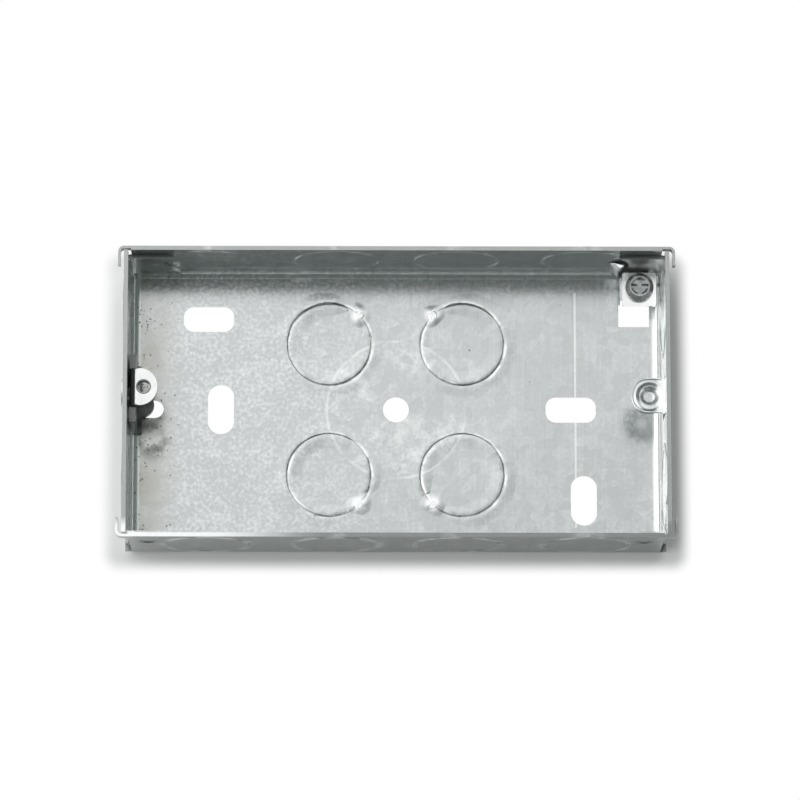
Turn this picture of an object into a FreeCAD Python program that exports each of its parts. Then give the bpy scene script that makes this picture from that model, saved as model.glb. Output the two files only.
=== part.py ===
import FreeCAD, Part
import math
import os

# Two-gang flush back box of folded galvanised sheet, in millimetres.
# It lies on its back: X along the box, Y across it, Z out of its open mouth.
# The origin is the centre of the rear face of the back plate.

vec = FreeCAD.Vector
centre = vec(0, 0, 0)
along_x = vec(1, 0, 0)
along_y = vec(0, 1, 0)
along_z = vec(0, 0, 1)

# Sheet body: overall size and folds
box_length = 130.0
box_width = 70.2
box_depth = 25.0
sheet = 1.0
fold_inside = 1.8

# Flaps: ends of the short walls, folded inside the long walls and spot-welded
flap_reach = 12.8
flap_back = 3.4
flap_front = 20.5
flap_gap = 0.1
flap_fold_inside = 0.6
weld_from_end = 6.2
weld_height = 17.6
weld_radius = 2.3
weld_dish = 0.25
weld_sides = 16

# Rim strip and the curled tangs at the four rim corners
rim_strip = 2.5
tang_thickness = 0.6
tang_radius = 1.4
tang_leg = 3.2

# Round knockouts, each sheared free but for one tie with a pressed nub over it
knockout_radius = 10.15
slit_width = 0.24
slit_sides = 36
tie_width = 4.6
nub_radius = 1.5
nub_top_radius = 0.9
nub_height = 0.15
nub_sides = 12
back_knockout_from_centre = 16.1
long_inner_knockout_x = 14.35
long_outer_knockout_inset = 19.8
short_knockout_inset = 13.8
wall_knockout_height = 13.5
flap_knockout_gap = 0.6

# Holes in the back plate
centre_hole_radius = 3.15
slot_width = 6.3
slot_length = 12.2
slot_corner = 2.5
upright_slot_corner = 3.1
middle_slot_inset = 22.7
side_slot_inset_x = 19.65
side_slot_inset_y = 12.85
screw_way_width = 4.3
screw_way_near_inset = 5.1
screw_way_far_inset = 6.7

# Lugs for the accessory screws; insets are from the outside of the short wall
lug_hole_inset = 4.7
lug_drop = 5.7
thread_radius = 1.5
fixed_lug_width = 8.5
fixed_lug_reach = 9.0
fixed_lug_tip_radius = 3.8
fixed_lug_fold_inside = 0.5
fixed_lug_slit = 0.4
fixed_lug_slit_rise = 1.6
fixed_lug_boss_radius = 2.5
fixed_lug_boss_drop = 1.8
fixed_lug_dish_radius = 2.3

# Adjustable lug and its rivet; the lug stands above the middle at rest
lug_sheet = 1.5
lug_rest_y = 2.0
lug_travel = 3.0
lug_wall_gap = 0.3
lug_width = 9.0
lug_reach = 8.0
lug_tip_radius = 4.4
lug_lead_in = 0.3
web_width = 16.4
shoulder_reach = 3.7
shoulder_tip_radius = 0.7
foot_width = 5.8
foot_reach = 6.6
foot_tip_radius = 2.8
foot_shift = -1.3
rivet_height = 10.5
rivet_radius = 1.6
rivet_head_radius = 3.4
rivet_head = 0.8
rivet_button_radius = 2.6
rivet_button = 0.7
rivet_head_gap = 0.1
rivet_slot_gap = 0.35

# Earth terminal: raised tab, square clamp plate and screw; insets are from the outside of the walls
terminal_inset_x = 6.3
terminal_inset_y = 6.55
tab_width = 7.2
tab_shift = -0.95
tab_root_inset = 3.2
tab_tip_inset = 9.4
tab_window_inset = 14.6
tab_rise = 6.7
tab_fold_inside = 0.4
tab_side_gap = 0.15
tab_boss_radius = 2.6
tab_boss_drop = 1.1
clamp_length = 8.2
clamp_width = 8.2
clamp_shift = -0.35
clamp_thickness = 1.0
clamp_corner = 0.5
clamp_hole_gap = 0.3
screw_radius = 2.0
screw_thread_gap = 0.04
screw_tip = 2.0
screw_point = 0.5
screw_head_radius = 3.4
screw_head_height = 2.4
screw_head_edge = 1.2
screw_head_slope = 0.9
screw_head_gap = 0.02
recess_radius = 2.1
recess_dish = 0.45
recess_width = 1.1
recess_depth = 1.5

# Worked out from the values above
half_length = box_length / 2
half_width = box_width / 2
fold_outside = fold_inside + sheet
flap_fold_outside = flap_fold_inside + sheet
flap_outer_y = half_width - sheet - flap_gap
long_wall_end = half_length - flap_fold_outside
short_wall_end = flap_outer_y - flap_fold_outside
corner_x = half_length - fold_outside
corner_y = half_width - fold_outside
rim_strip_base = box_depth - rim_strip
through = 4 * sheet
lug_plane = box_depth - lug_drop
lug_hole_x = half_length - lug_hole_inset
long_outer_knockout_x = half_length - long_outer_knockout_inset
long_knockout_places = [-long_outer_knockout_x, -long_inner_knockout_x]
long_knockout_places += [long_inner_knockout_x, long_outer_knockout_x]
short_wall_face = half_length - sheet
short_knockout_y = half_width - short_knockout_inset
middle_slot_x = half_length - middle_slot_inset
side_slot_x = half_length - side_slot_inset_x
side_slot_y = half_width - side_slot_inset_y
terminal_x = half_length - terminal_inset_x
terminal_y = half_width - terminal_inset_y


def block(x_low, x_high, y_low, y_high, z_low, z_high):
    """A box between two corners."""
    return Part.makeBox(x_high - x_low, y_high - y_low, z_high - z_low, vec(x_low, y_low, z_low))


def four_corners(shape):
    """The shape of the corner at plus X and plus Y, and its three mirror images."""
    pair = [shape, shape.mirror(centre, along_x)]
    return pair + [one.mirror(centre, along_y) for one in pair]


def quarter_ring(middle, radius_in, radius_out, z_low, z_high):
    """A quarter of a flat ring about Z, from plus X to plus Y."""
    base = vec(middle.x, middle.y, z_low)
    outer = Part.makeCylinder(radius_out, z_high - z_low, base, along_z, 90)
    return outer.cut(Part.makeCylinder(radius_in, z_high - z_low, base))


def outline(radius, sides, z):
    """A closed many-sided outline about Z, with its sides as far out as the circle on the whole."""
    reach = radius / math.sqrt(math.cos(math.pi / sides))
    turns = [2 * math.pi * (k + 0.5) / sides for k in range(sides + 1)]
    return Part.makePolygon([vec(reach * math.cos(t), reach * math.sin(t), z) for t in turns])


def many_sided_prism(radius, sides, z_low, z_high):
    """An upright prism on a many-sided outline."""
    return Part.Face(outline(radius, sides, z_low)).extrude(vec(0, 0, z_high - z_low))


def many_sided_frustum(radius_low, radius_high, sides, z_low, z_high):
    """A many-sided cone with its top cut off."""
    return Part.makeLoft([outline(radius_low, sides, z_low), outline(radius_high, sides, z_high)], True, True)


def fold_channel(half_across):
    """Section of the sheet folded up on both sides, as a face across Y, with its plane at X = 0."""
    mid = math.sqrt(0.5)
    turn = half_across - fold_outside
    inner = half_across - sheet

    def at(y, z):
        return vec(0, y, z)

    def bend(side, radius):
        middle = at(side * turn, fold_outside)
        half_way = middle + at(side * radius * mid, -radius * mid)
        return [middle + at(side * radius, 0), half_way, middle + at(0, -radius)]

    right_out = bend(1, fold_outside)
    left_out = bend(-1, fold_outside)
    right_in = bend(1, fold_inside)
    left_in = bend(-1, fold_inside)
    edges = [
        Part.makeLine(at(-half_across, box_depth), left_out[0]),
        Part.Arc(*left_out).toShape(),
        Part.makeLine(left_out[2], right_out[2]),
        Part.Arc(*right_out[::-1]).toShape(),
        Part.makeLine(right_out[0], at(half_across, box_depth)),
        Part.makeLine(at(half_across, box_depth), at(inner, box_depth)),
        Part.makeLine(at(inner, box_depth), right_in[0]),
        Part.Arc(*right_in).toShape(),
        Part.makeLine(right_in[2], left_in[2]),
        Part.Arc(*left_in[::-1]).toShape(),
        Part.makeLine(left_in[0], at(-inner, box_depth)),
        Part.makeLine(at(-inner, box_depth), at(-half_across, box_depth)),
    ]
    return Part.Face(Part.Wire(edges))


def rounded_slot(x_mid, y_mid, length_x, length_y, corner, z_low, z_high):
    """An upright prism with rounded corners, used to cut a slot."""
    half_x = length_x / 2
    half_y = length_y / 2
    prism = block(x_mid - half_x, x_mid + half_x, y_mid - half_y, y_mid + half_y, z_low, z_high)
    upright = [edge for edge in prism.Edges if abs(edge.tangentAt(edge.FirstParameter).z) > 0.9]
    return prism.makeFillet(corner, upright)


def tongue(x_root, x_tip, y_mid, width, tip_radius, z_low, z_high):
    """A flat tongue from a root to a tip with two rounded corners."""
    x_low = min(x_root, x_tip)
    x_high = max(x_root, x_tip)
    plate = block(x_low, x_high, y_mid - width / 2, y_mid + width / 2, z_low, z_high)
    tip = []
    for edge in plate.Edges:
        upright = abs(edge.tangentAt(edge.FirstParameter).z) > 0.9
        if upright and abs(edge.CenterOfMass.x - x_tip) < 0.01:
            tip.append(edge)
    return plate.makeFillet(tip_radius, tip)


# Body: back plate and long walls in one folded channel, short walls in another
long_channel = fold_channel(half_width).extrude(vec(2 * long_wall_end, 0, 0))
long_channel.translate(vec(-long_wall_end, 0, 0))
short_channel = fold_channel(half_length).extrude(vec(2 * short_wall_end, 0, 0))
short_channel.translate(vec(-short_wall_end, 0, 0))
short_channel.rotate(centre, along_z, 90)
corner_room = block(corner_x, half_length, corner_y, half_width, 0, fold_outside)
body = long_channel.fuse(short_channel).cut(four_corners(corner_room))


def corner_wedge(outer_corner):
    """Half of the room of a corner fold, on one side of the mitre through its diagonal."""
    ends = [vec(corner_x, corner_y, 0), outer_corner, vec(half_length, half_width, 0)]
    return Part.Face(Part.makePolygon(ends + ends[:1])).extrude(vec(0, 0, fold_outside))


# Body: the folds of the long and short walls meet in a mitre at each corner of the back plate
long_fold_end = fold_channel(half_width).extrude(vec(fold_outside, 0, 0))
long_fold_end.translate(vec(corner_x, 0, 0))
short_fold_end = fold_channel(half_length).extrude(vec(fold_outside, 0, 0))
short_fold_end.translate(vec(corner_y, 0, 0))
short_fold_end.rotate(centre, along_z, 90)
mitre = long_fold_end.common(corner_wedge(vec(corner_x, half_width, 0)))
mitre = mitre.fuse(short_fold_end.common(corner_wedge(vec(half_length, corner_y, 0))))
body = body.fuse(four_corners(mitre))

# Body: the end of each short wall turns inside the long wall as a flap, with a dished spot weld
fold_middle = vec(half_length - flap_fold_outside, flap_outer_y - flap_fold_outside, 0)
flap_inner_y = flap_outer_y - sheet
flap_fold = quarter_ring(fold_middle, flap_fold_inside, flap_fold_outside, flap_back, flap_front)
flap_plate = block(half_length - flap_reach, fold_middle.x, flap_inner_y, flap_outer_y, flap_back, flap_front)
knockout_room = Part.makeCylinder(
    knockout_radius + flap_knockout_gap, through,
    vec(long_outer_knockout_x, flap_outer_y - through / 2, wall_knockout_height), along_y
)
flap = flap_plate.cut(knockout_room).fuse(flap_fold)
rim_end = block(half_length - sheet, half_length, short_wall_end, flap_outer_y, rim_strip_base, box_depth)
weld_x = half_length - weld_from_end
weld_half = weld_radius / 2
weld = block(
    weld_x - weld_half, weld_x + weld_half, flap_outer_y - flap_gap, flap_outer_y + 2 * flap_gap,
    weld_height - weld_half, weld_height + weld_half
)
weld_dish_cut = many_sided_frustum(weld_radius - weld_dish, weld_radius, weld_sides, -weld_dish, 0)
weld_dish_cut.rotate(centre, along_x, -90)
weld_dish_cut.translate(vec(weld_x, half_width, weld_height))

# Body: a thin tang curls out of each end of the rim of the long walls and back along the short wall
tang_middle = vec(half_length, half_width - tang_radius, 0)
tang_inside = tang_radius - tang_thickness
tang_curl = quarter_ring(tang_middle, tang_inside, tang_radius, rim_strip_base, box_depth)
tang_root = block(
    long_wall_end, tang_middle.x, half_width - tang_thickness, half_width, rim_strip_base, box_depth
)
tang_end = block(
    tang_middle.x + tang_inside, tang_middle.x + tang_radius, tang_middle.y - tang_leg, tang_middle.y,
    rim_strip_base, box_depth
)
corner_pieces = []
for piece in (flap, rim_end, weld, tang_root.fuse(tang_curl).fuse(tang_end)):
    corner_pieces += four_corners(piece)
body = body.fuse(corner_pieces).cut(four_corners(weld_dish_cut))


def knockout(tie_angle):
    """The shear slit of one knockout and the nub over its tie, on a plate with its inner face at Z = 0."""
    outer = many_sided_prism(knockout_radius + slit_width / 2, slit_sides, -through / 2, through / 2)
    inner = many_sided_prism(knockout_radius - slit_width / 2, slit_sides, -through / 2, through / 2)
    tie = block(0, 2 * knockout_radius, -tie_width / 2, tie_width / 2, -through, through)
    slit = outer.cut(inner).cut(tie)
    nub = many_sided_frustum(nub_radius, nub_top_radius, nub_sides, -nub_height / 2, nub_height)
    nub.translate(vec(knockout_radius, 0, 0))
    for shape in (slit, nub):
        shape.rotate(centre, along_z, tie_angle)
    return slit, nub


# Body: knockouts of the back plate, of the long walls and of the short walls
knockouts = []
for side_x in (-1, 1):
    for side_y in (-1, 1):
        slit, nub = knockout(math.degrees(math.atan2(side_y, -side_x)))
        for shape in (slit, nub):
            shape.translate(vec(side_x, side_y, 0) * back_knockout_from_centre + vec(0, 0, sheet))
        knockouts.append((slit, nub))
for side_y in (-1, 1):
    for place_x in long_knockout_places:
        tie_angle = -side_y * (45 if place_x < 0 else 135)
        slit, nub = knockout(tie_angle)
        for shape in (slit, nub):
            shape.rotate(centre, along_x, side_y * 90)
            shape.translate(vec(place_x, side_y * (half_width - sheet), wall_knockout_height))
        knockouts.append((slit, nub))
for side_x in (-1, 1):
    for side_y in (-1, 1):
        slit, nub = knockout(side_y * 45)
        for shape in (slit, nub):
            shape.rotate(centre, along_y, -side_x * 90)
            shape.translate(vec(side_x * short_wall_face, side_y * short_knockout_y, wall_knockout_height))
        knockouts.append((slit, nub))
body = body.cut([slit for slit, nub in knockouts])
body = body.fuse([nub for slit, nub in knockouts])

# Body: centre hole, four fixing slots, and the way for a long screw behind the adjustable lug
plate_low = -sheet
plate_high = 2 * sheet
plate_cuts = [Part.makeCylinder(centre_hole_radius, plate_high - plate_low, vec(0, 0, plate_low))]
for x_mid, y_mid, level in (
    (-side_slot_x, side_slot_y, True),
    (-middle_slot_x, 0, False),
    (middle_slot_x, 0, True),
    (side_slot_x, -side_slot_y, False),
):
    length_x = slot_length if level else slot_width
    length_y = slot_width if level else slot_length
    corner = slot_corner if level else upright_slot_corner
    plate_cuts.append(rounded_slot(x_mid, y_mid, length_x, length_y, corner, plate_low, plate_high))
screw_way_half = screw_way_width / 2
screw_way_near_x = screw_way_near_inset - half_length
screw_way_far_x = screw_way_far_inset - half_length
for x_mid in (screw_way_near_x, screw_way_far_x):
    plate_cuts.append(Part.makeCylinder(screw_way_half, plate_high - plate_low, vec(x_mid, 0, plate_low)))
plate_cuts.append(
    block(screw_way_near_x, screw_way_far_x, -screw_way_half, screw_way_half, plate_low, plate_high)
)
body = body.cut(plate_cuts)

# Body: fixed lug, lanced out of the right short wall and folded in, with an extruded tapped boss
lug_fold_outside = fixed_lug_fold_inside + sheet
lug_fold_middle = vec(half_length - sheet - fixed_lug_fold_inside, 0, lug_plane + fixed_lug_fold_inside)
lug_half = fixed_lug_width / 2
fixed_lug_tip_x = half_length - fixed_lug_reach
lug_developed = lug_fold_middle.x - fixed_lug_tip_x + math.pi / 2 * (fixed_lug_fold_inside + sheet / 2)
lug_cut_inner_x = half_length - 2 * sheet
lug_cut_outer_x = half_length + sheet
lug_window = block(
    lug_cut_inner_x, lug_cut_outer_x, -lug_half - fixed_lug_slit, lug_half + fixed_lug_slit,
    lug_fold_middle.z - lug_developed, lug_fold_middle.z
)
lug_slits = []
for slit_low in (-lug_half - fixed_lug_slit, lug_half):
    lug_slits.append(block(
        lug_cut_inner_x, lug_cut_outer_x, slit_low, slit_low + fixed_lug_slit,
        lug_fold_middle.z - sheet, lug_fold_middle.z + fixed_lug_slit_rise
    ))
lug_fold_base = lug_fold_middle - vec(0, lug_half, 0)
lug_fold = Part.makeCylinder(lug_fold_outside, fixed_lug_width, lug_fold_base, along_y, 90)
lug_fold = lug_fold.cut(Part.makeCylinder(fixed_lug_fold_inside, fixed_lug_width, lug_fold_base, along_y))
lug_fold.rotate(lug_fold_middle, along_y, 90)
fixed_lug_tongue = tongue(
    lug_fold_middle.x, fixed_lug_tip_x, 0, fixed_lug_width, fixed_lug_tip_radius, lug_plane - sheet, lug_plane
)
boss_base = lug_plane - sheet - fixed_lug_boss_drop
lug_boss = Part.makeCylinder(
    fixed_lug_boss_radius, fixed_lug_boss_drop + sheet / 2, vec(lug_hole_x, 0, boss_base)
)
lug_bore = Part.makeCylinder(thread_radius, box_depth, vec(lug_hole_x, 0, boss_base - sheet))
dish_depth = fixed_lug_dish_radius - thread_radius
lug_dish = Part.makeCone(
    thread_radius, fixed_lug_dish_radius, dish_depth, vec(lug_hole_x, 0, lug_plane - dish_depth)
)
body = body.cut([lug_window] + lug_slits)
body = body.fuse([lug_fold, fixed_lug_tongue, lug_boss]).cut([lug_bore, lug_dish])

# Body: upright slot of the left short wall, where the rivet of the adjustable lug slides
rivet_slot_half = rivet_radius + rivet_slot_gap
rivet_slot = [block(
    -half_length - sheet, -half_length + 2 * sheet, -lug_travel, lug_travel,
    rivet_height - rivet_slot_half, rivet_height + rivet_slot_half
)]
for y_end in (-lug_travel, lug_travel):
    rivet_slot.append(
        Part.makeCylinder(rivet_slot_half, 3 * sheet, vec(-half_length - sheet, y_end, rivet_height), along_x)
    )
body = body.cut(rivet_slot)

# Body: terminal tab, lanced out of the back plate, stepped up over its own window and tapped
tab_x = terminal_x + tab_shift
tab_half = tab_width / 2
tab_fold_outside = tab_fold_inside + sheet
tab_top = tab_rise + sheet
tab_root_y = half_width - tab_root_inset
tab_tip_y = half_width - tab_tip_inset
tab_leg_y = tab_root_y - sheet
tab_low_fold = vec(tab_x - tab_half, tab_root_y + tab_fold_inside, sheet + tab_fold_inside)
tab_high_fold = vec(tab_x - tab_half, tab_leg_y - tab_fold_inside, tab_rise - tab_fold_inside)
tab_window = block(
    tab_x - tab_half - tab_side_gap, tab_x + tab_half + tab_side_gap,
    half_width - tab_window_inset, tab_low_fold.y, plate_low, plate_high
)


def quarter_fold(middle, start):
    """A quarter bend of the tab about X, from an angle measured from plus Y towards plus Z."""
    bend = Part.makeCylinder(tab_fold_outside, tab_width, middle, along_x, 90)
    bend = bend.cut(Part.makeCylinder(tab_fold_inside, tab_width, middle, along_x))
    bend.rotate(middle, along_x, start)
    return bend


tab_x_low = tab_x - tab_half
tab_x_high = tab_x + tab_half
tab_pieces = [
    quarter_fold(tab_low_fold, 90),
    block(tab_x_low, tab_x_high, tab_leg_y, tab_root_y, tab_low_fold.z, tab_high_fold.z),
    quarter_fold(tab_high_fold, -90),
    block(tab_x_low, tab_x_high, tab_tip_y, tab_high_fold.y, tab_rise, tab_top),
    Part.makeCylinder(
        tab_boss_radius, tab_boss_drop + sheet / 2, vec(terminal_x, terminal_y, tab_rise - tab_boss_drop)
    ),
]
tab_bore = Part.makeCylinder(screw_radius + screw_thread_gap, box_depth, vec(terminal_x, terminal_y, sheet))
body = body.cut(tab_window).fuse(tab_pieces).cut(tab_bore).removeSplitter()

# Adjustable lug: tapped lug at the front, web along the left wall, shoulder and foot over the back plate
web_outer_x = -half_length + sheet + lug_wall_gap
web_inner_x = web_outer_x + lug_sheet
lug_base = lug_plane - lug_sheet
foot_low = sheet + lug_wall_gap
foot_high = foot_low + lug_sheet
foot_y = lug_rest_y + foot_shift
lug_tip_x = lug_reach - half_length
foot_tip_x = foot_reach - half_length
web_half = web_width / 2
lug_face = tongue(web_inner_x, lug_tip_x, lug_rest_y, lug_width, lug_tip_radius, lug_base, lug_plane)
web = block(web_outer_x, web_inner_x, lug_rest_y - web_half, lug_rest_y + web_half, foot_high, lug_base)
shoulder = tongue(
    web_inner_x, shoulder_reach - half_length, lug_rest_y, web_width, shoulder_tip_radius, foot_low, foot_high
)
foot = tongue(web_inner_x, foot_tip_x, foot_y, foot_width, foot_tip_radius, foot_low, foot_high)


def lug_corner(y_mid, width, z_mid, start):
    """The rounded outside corner between the web and a tongue, as a quarter round about Y."""
    middle = vec(web_inner_x, y_mid - width / 2, z_mid)
    corner = Part.makeCylinder(lug_sheet, width, middle, along_y, 90)
    corner.rotate(middle, along_y, start)
    return corner


adjustable_lug = lug_face.fuse([
    web, shoulder, foot,
    lug_corner(lug_rest_y, lug_width, lug_base, -90),
    lug_corner(lug_rest_y, web_width, foot_high, 180),
])
lead_in = Part.makeCone(
    thread_radius, thread_radius + lug_lead_in, lug_lead_in,
    vec(-lug_hole_x, lug_rest_y, lug_plane - lug_lead_in)
)
rivet_hole_base = vec(web_outer_x - lug_sheet, lug_rest_y, rivet_height)
adjustable_lug = adjustable_lug.cut([
    Part.makeCylinder(thread_radius, 3 * lug_sheet, vec(-lug_hole_x, lug_rest_y, lug_base - lug_sheet)),
    lead_in,
    Part.makeCylinder(rivet_radius, 3 * lug_sheet, rivet_hole_base, along_x),
]).removeSplitter()

# Rivet: flat head outside the wall, shank through the slot and the web, closed as a button inside
head_inner_x = -half_length - rivet_head_gap
rivet_foot = vec(head_inner_x - rivet_head, lug_rest_y, rivet_height)
lug_rivet = Part.makeCylinder(rivet_head_radius, rivet_head, rivet_foot, along_x)
lug_rivet = lug_rivet.fuse(
    Part.makeCylinder(rivet_radius, web_inner_x - head_inner_x + rivet_head, rivet_foot, along_x)
)
lug_rivet = lug_rivet.fuse(Part.makeCone(
    rivet_button_radius, rivet_radius, rivet_button, vec(web_inner_x, lug_rest_y, rivet_height), along_x
)).removeSplitter()

# Clamp plate: square, with a free hole round the screw
clamp_top = tab_top + clamp_thickness
earth_clamp = rounded_slot(
    terminal_x, terminal_y + clamp_shift, clamp_length, clamp_width, clamp_corner, tab_top, clamp_top
).cut(Part.makeCylinder(screw_radius + clamp_hole_gap, box_depth, vec(terminal_x, terminal_y, 0)))

# Terminal screw: pan head with a sloped edge and a cross recess in a dish, plain shank and a short point
head_base = clamp_top + screw_head_gap
head_edge = head_base + screw_head_edge
head_top = head_base + screw_head_height
terminal_axis = vec(terminal_x, terminal_y, 0)
head = Part.makeCylinder(screw_head_radius, screw_head_edge, terminal_axis + vec(0, 0, head_base))
head_crown = Part.makeCone(
    screw_head_radius, screw_head_radius - screw_head_slope, head_top - head_edge,
    terminal_axis + vec(0, 0, head_edge)
)
shank_base = screw_tip + screw_point
shank = Part.makeCylinder(screw_radius, head_base - shank_base, terminal_axis + vec(0, 0, shank_base))
point = Part.makeCone(
    screw_radius - screw_point, screw_radius, screw_point, terminal_axis + vec(0, 0, screw_tip)
)
recess = [Part.makeCone(
    recess_radius - recess_dish, recess_radius, recess_dish, terminal_axis + vec(0, 0, head_top - recess_dish)
)]
for arm_x, arm_y in ((recess_radius, recess_width / 2), (recess_width / 2, recess_radius)):
    arm = block(-arm_x, arm_x, -arm_y, arm_y, head_top - recess_depth, head_top + sheet)
    arm.translate(terminal_axis)
    recess.append(arm)
earth_screw = head.fuse([head_crown, shank, point]).cut(recess).removeSplitter()

# One file for each piece
os.makedirs("parts", exist_ok=True)
for node, shape in (
    ("back_box", body),
    ("adjustable_lug", adjustable_lug),
    ("lug_rivet", lug_rivet),
    ("earth_clamp", earth_clamp),
    ("earth_screw", earth_screw),
):
    solids = shape.Solids
    print(node, "solids", len(solids), "valid", shape.isValid(), "volume", round(shape.Volume, 1))
    solids[0].exportStep("parts/" + node + ".step")
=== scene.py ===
import math

import bpy
import numpy as np
from mathutils import Euler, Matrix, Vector


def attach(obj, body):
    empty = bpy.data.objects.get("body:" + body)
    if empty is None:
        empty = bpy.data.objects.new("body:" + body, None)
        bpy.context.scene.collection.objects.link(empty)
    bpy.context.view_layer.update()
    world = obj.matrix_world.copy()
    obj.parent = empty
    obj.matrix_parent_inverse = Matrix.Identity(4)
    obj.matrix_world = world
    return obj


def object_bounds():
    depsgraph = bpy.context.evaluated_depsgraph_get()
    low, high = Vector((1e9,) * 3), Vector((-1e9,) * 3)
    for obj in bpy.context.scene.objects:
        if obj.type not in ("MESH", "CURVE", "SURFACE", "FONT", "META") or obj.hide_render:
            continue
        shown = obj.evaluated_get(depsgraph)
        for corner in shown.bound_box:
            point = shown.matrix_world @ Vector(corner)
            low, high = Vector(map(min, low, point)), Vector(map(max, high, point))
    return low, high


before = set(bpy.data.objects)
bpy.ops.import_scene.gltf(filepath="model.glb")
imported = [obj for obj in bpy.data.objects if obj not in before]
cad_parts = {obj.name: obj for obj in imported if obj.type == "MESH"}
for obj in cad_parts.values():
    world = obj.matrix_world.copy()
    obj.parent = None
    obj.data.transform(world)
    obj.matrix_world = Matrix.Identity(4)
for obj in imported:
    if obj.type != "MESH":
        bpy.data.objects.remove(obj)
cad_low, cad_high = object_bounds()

# Folded body: one piece of hot-dip galvanised steel sheet, 1 mm thick, pressed, folded up on four
# sides and spot-welded through the flaps at its corners. Its zinc coat shows a faint spangle, fine
# mill marks across the box, a scribed line, a pressed ring, and grime with painted shade at the left end.

MM = 0.001

SHEET_DARK = (0.555, 0.575, 0.576, 1.0)
SHEET_LIGHT = (0.775, 0.796, 0.797, 1.0)
# Painted highlight, lightening the end folds, the end walls and the left part of the lower rim.
FOLD_AND_RIM_HIGHLIGHT = (0.90, 0.92, 0.91, 1.0)
# Grime colour, also painted shade along the left wall's foot.
GRIME_AND_PAINTED_SHADE = (0.40, 0.39, 0.34, 1.0)
# Dark colour of a dark patch near the levelling lug and of the knockout cuts, and painted shade along the
# flaps' upper edge.
DARK_MARK_AND_PAINTED_SHADE = (0.12, 0.13, 0.12, 1.0)
SPECK = (0.05, 0.05, 0.045, 1.0)
MARK = (0.88, 0.90, 0.89, 1.0)
CUT_EDGE = (0.40, 0.42, 0.41, 1.0)
# Painted highlight along the plate's knockout edges and at their ties.
KNOCKOUT_HIGHLIGHT = (0.98, 0.99, 0.99, 1.0)
HEAT_TINT = (0.27, 0.26, 0.24, 1.0)
# Painted shade that darkens the outer faces.
OUTER_PAINTED_SHADE = (0.225, 0.245, 0.24, 1.0)
# Painted shade on the right part of the lower rim.
RIM_PAINTED_SHADE = (0.28, 0.29, 0.29, 1.0)

# Zinc coat: the sizes and shares of its patterns, some of them at the rough left end and at the smooth
# right end, the range of tones from dark to light, its gloss and its relief.
SPANGLE_SIZE = 2.4 * MM
SPANGLE_SHARE = 0.18
MOTTLE_SIZE = 0.9 * MM
CLOUD_SIZE = 16.0 * MM
CLOUD_SHARE = 0.30
MILL_WIDTH = 0.5 * MM
MILL_LENGTH = 22.0 * MM
STREAK_WIDTH = 2.0 * MM
STREAK_LENGTH = 7.0 * MM
STREAK_SHARE = 0.7
ROUGH_END_X = -48.0 * MM
SMOOTH_END_X = 25.0 * MM
TONE_BY_END = (0.24, 0.08)
MOTTLE_BY_END = (1.7, 0.5)
MILL_BY_END = (0.12, 0.30)
TONE_RANGE = (0.30, 0.95)
NOISE_MIDDLE = 0.5
SHEET_METALLIC = 0.85
SHEET_ROUGHNESS = 0.11
SHEET_ROUGHNESS_SPREAD = 0.18
SHEET_RELIEF = 0.02 * MM
MOTTLE_RELIEF = 0.5
SPANGLE_RELIEF = 0.25
MARK_RELIEF = 0.5

# Faces, folds and edges of the sheet; a pair is where a blend begins and ends.
PLATE_FACE = 1.2 * MM
PLATE_MIDDLE = 0.5 * MM
RIM_Z = (24.88 * MM, 24.98 * MM)
LOWER_RIM_Y = (-33.0 * MM, -30.0 * MM)
LOWER_RIM_SHADE_X = (-46.0 * MM, -16.0 * MM)
END_FOLD_X = (61.6 * MM, 62.6 * MM)
FLAP_EDGE = 20.5 * MM
FLAP_EDGE_BLEND = 0.05 * MM
FLAP_EDGE_SHARE = 0.9
FLAP_FACE_Y = 32.9 * MM
OUTER_FACE_Y = 34.15 * MM
OUTER_FACE_X = 64.05 * MM
OUTER_BEND_X = 62.3 * MM
OUTER_BEND_Y = 33.2 * MM
KNOCKOUT_RADIUS = 10.15 * MM
BACK_KNOCKOUT = 16.1 * MM
LONG_KNOCKOUTS = (14.35 * MM, 45.2 * MM)
WALL_KNOCKOUT_HEIGHT = 13.5 * MM

# Places and sizes of the marks.
GRIME_SHADE_START_X = -50.0 * MM
GRIME_SHADE_FULL_X = -62.5 * MM
GRIME_SHADE_MOTTLE = 0.5
DARK_PATCH_X = -58.6 * MM
DARK_PATCH_Y = -8.5 * MM
SPECK_SPACING = 0.85 * MM
SPECK_RADIUS = 0.19 * MM
STRAY_SPECKS = 0.003
SCRIBE_X = 43.35 * MM
SCRIBE_HALF_LENGTH = 29.0 * MM
PRESSED_RING_RADIUS = 16.8 * MM
WELD_X = 58.8 * MM
WELD_HEIGHT = 17.6 * MM
TIE_X = 8.92 * MM
TIE_Y = 23.28 * MM
HIGHLIGHT_WIDTH = 0.9 * MM
HIGHLIGHT_CORE = 0.27 * MM
HIGHLIGHT_SHARE = 0.95
HIGHLIGHT_SLANT = 0.7
HIGHLIGHT_SIDES = (-6.09 * MM, 4.06 * MM)
WEAR_HIGHLIGHT_START = -0.425 * MM

# How a mark fades: the distance where it begins to, the distance where it ends, and its share before.
DARK_PATCH_FADE = (1.1 * MM, 5.5 * MM, 1.0)
SCRIBE_FADE = (0.13 * MM, 0.39 * MM, 0.75)
PRESSED_RING_FADE = (0.165 * MM, 0.55 * MM, 0.5)
WELD_TINT_FADE = (1.71 * MM, 3.8 * MM, 0.55)
TIE_FADE = (0.78 * MM, 2.6 * MM, 0.9)
CUT_FADE = (0.088 * MM, 0.22 * MM, 0.85)
SCUFF_HIGHLIGHT_FADE = (0.2125 * MM, 0.85 * MM, 0.7)
WEAR_HIGHLIGHT_FADE = (0.24 * MM, 2.4 * MM, 0.65)

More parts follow.
